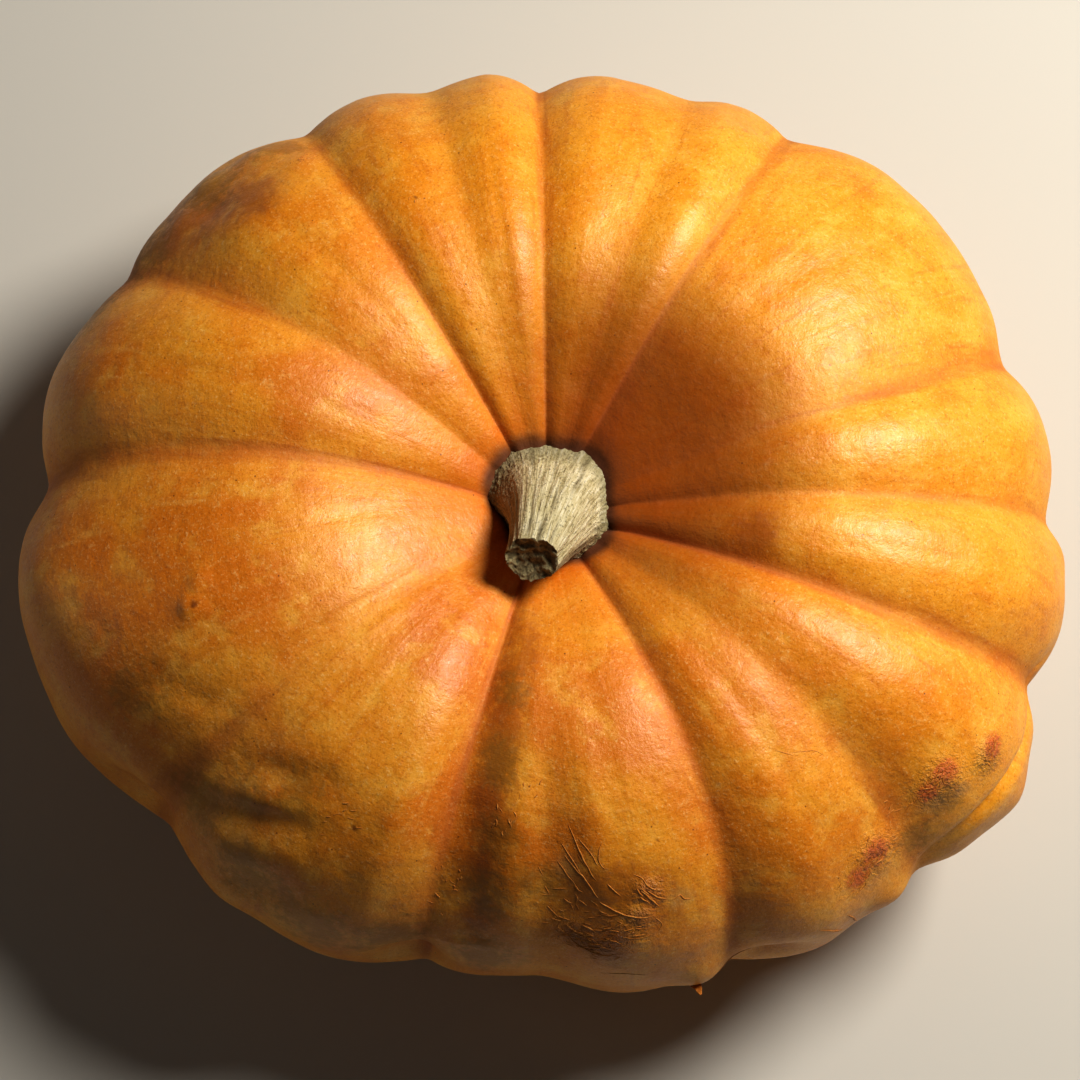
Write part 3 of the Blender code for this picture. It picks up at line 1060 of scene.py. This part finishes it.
def cork():
    """Dried woody stem: hard cork over stringy fibres, sawn or torn across at its end, so it is
    dull, ridged lengthwise and darker in the furrows between the fibres."""
    material, tree, shader = new_material("dry_corky_stem")
    place = add(tree, "ShaderNodeTexCoord").outputs["Object"]
    fibre_place = add(tree, "ShaderNodeAttribute", attribute_name="fibre_place").outputs["Vector"]
    mask = {
        name: add(tree, "ShaderNodeAttribute", attribute_name=name).outputs["Fac"]
        for name in ("ridge", "cut", "torn", "near_foot", "stained_and_shaded")
    }
    fine_fibre, wide_fibre, patch, grain = (
        add(
            tree,
            "ShaderNodeTexNoise",
            {"Vector": vector, "Scale": 1 / size, "Detail": 4.0, "Roughness": 0.65},
        ).outputs["Fac"]
        for vector, size in (
            (fibre_place, 0.8 * MM),
            (fibre_place, 2.4 * MM),
            (place, 9 * MM),
            (place, 1.1 * MM),
        )
    )
    torn_crests, torn_grain = (
        add(tree, "ShaderNodeMath", {0: mask["cut"], 1: pattern}, operation="MULTIPLY").outputs[0]
        for pattern in (mask["torn"], grain)
    )
    colour = layered(
        tree,
        srgb("#C8BC94"),
        (
            (patch, 0.45, 0.65, 0.45, "#A1925C"),
            (wide_fibre, 0.48, 0.66, 0.7, "#DCD3B2"),
            (fine_fibre, 0.5, 0.66, 0.6, "#EFE9D2"),
            (fine_fibre, 0.47, 0.32, 0.7, "#7A6A40"),
            (mask["ridge"], 0.45, 0.15, 0.75, "#5E5030"),
            # Brown stain on one flank, and in the hollow brown stain with painted shade
            (mask["stained_and_shaded"], 0.25, 0.95, 0.65, "#86602E"),
            (mask["near_foot"], 0.5, 1.0, 0.6, "#776E4C"),
            (grain, 0.47, 0.33, 0.6, "#4A4028"),
            (grain, 0.55, 0.7, 0.45, "#D8D0B0"),
            (mask["cut"], 0.3, 0.75, 0.9, "#7A6A46"),
            (torn_crests, 0.36, 0.6, 0.8, "#B9AB80"),
            (torn_grain, 0.42, 0.6, 0.6, "#33291A"),
        ),
    )
    tree.links.new(colour, shader.inputs["Base Color"])
    shader.inputs["Roughness"].default_value = 0.85
    height = summed(tree, ((fine_fibre, 0.7), (wide_fibre, 0.4), (grain, 0.5)))
    bump = add(tree, "ShaderNodeBump", {"Height": height, "Distance": MM})
    tree.links.new(bump.outputs[0], shader.inputs["Normal"])
    return material


# ---------------------------------------------------------------- floor, light, camera

FLOOR_HALF_WIDTH = 4
LIGHT_TARGET = Vector((0, 0, 0.1))
WORLD_STRENGTH = 0.03
VIEW_GAMMA = 0.82
CAMERA_ELEVATION_DEG = 75
CAMERA_DISTANCE = 1.3
CAMERA_TARGET = Vector((SEAT.x - 2.7 * MM, SEAT.y, EQUATOR_Z))
CAMERA_LENS_MM = 112


def make_floor():
    """Matt paper, evenly pale, so that it shows only the pumpkin's shadow."""
    cage = bmesh.new()
    bmesh.ops.create_grid(cage, x_segments=1, y_segments=1, size=FLOOR_HALF_WIDTH)
    mesh = mesh_of(cage, "floor")
    material, _, shader = new_material("matt_pale_paper")
    shader.inputs["Base Color"].default_value = srgb("#CFCCC6")
    shader.inputs["Roughness"].default_value = 0.9
    mesh.materials.append(material)
    add_object(mesh)


def aim(obj, place, target):
    obj.location = place
    obj.rotation_euler = (target - place).to_track_quat("-Z", "Y").to_euler()


def make_light(name, azimuth_deg, elevation_deg, distance, size, watts, colour):
    lamp = bpy.data.lights.new(name, "AREA")
    lamp.shape = "DISK"
    lamp.size = size
    lamp.energy = watts
    lamp.color = srgb(colour)[:3]
    azimuth = math.radians(azimuth_deg)
    elevation = math.radians(elevation_deg)
    flat = math.cos(elevation)
    away = Vector((flat * math.cos(azimuth), flat * math.sin(azimuth), math.sin(elevation)))
    aim(add_object(lamp), LIGHT_TARGET + distance * away, LIGHT_TARGET)


def make_lights():
    """One large soft light from the right and behind, and a weak one low on the left."""
    make_light(
        "key_softbox",
        azimuth_deg=29.5,
        elevation_deg=51,
        distance=1.34,
        size=0.5,
        watts=26.5,
        colour="#FFFAF0",
    )
    make_light(
        "fill_softbox",
        azimuth_deg=183,
        elevation_deg=16,
        distance=1.25,
        size=0.6,
        watts=1.1,
        colour="#FFF0DC",
    )
    world = bpy.data.worlds.new("studio")
    bpy.context.scene.world = world
    world.use_nodes = True
    background = world.node_tree.nodes["Background"]
    background.inputs["Color"].default_value = srgb("#FFFFFF")
    background.inputs["Strength"].default_value = WORLD_STRENGTH


def make_camera():
    """Looks steeply down on the pumpkin from the front, in a view that deepens its shades."""
    data = bpy.data.cameras.new("camera")
    data.lens = CAMERA_LENS_MM
    data.sensor_width = 36
    camera = add_object(data)
    elevation = math.radians(CAMERA_ELEVATION_DEG)
    back = Vector((0, -math.cos(elevation), math.sin(elevation)))
    aim(camera, CAMERA_TARGET + CAMERA_DISTANCE * back, CAMERA_TARGET)
    bpy.context.scene.camera = camera
    view = bpy.context.scene.view_settings
    view.view_transform = "Standard"
    view.gamma = VIEW_GAMMA


skin_tree = make_fruit()
make_scratches(skin_tree)
make_flake(skin_tree)
make_stem()
make_floor()
make_lights()
make_camera()
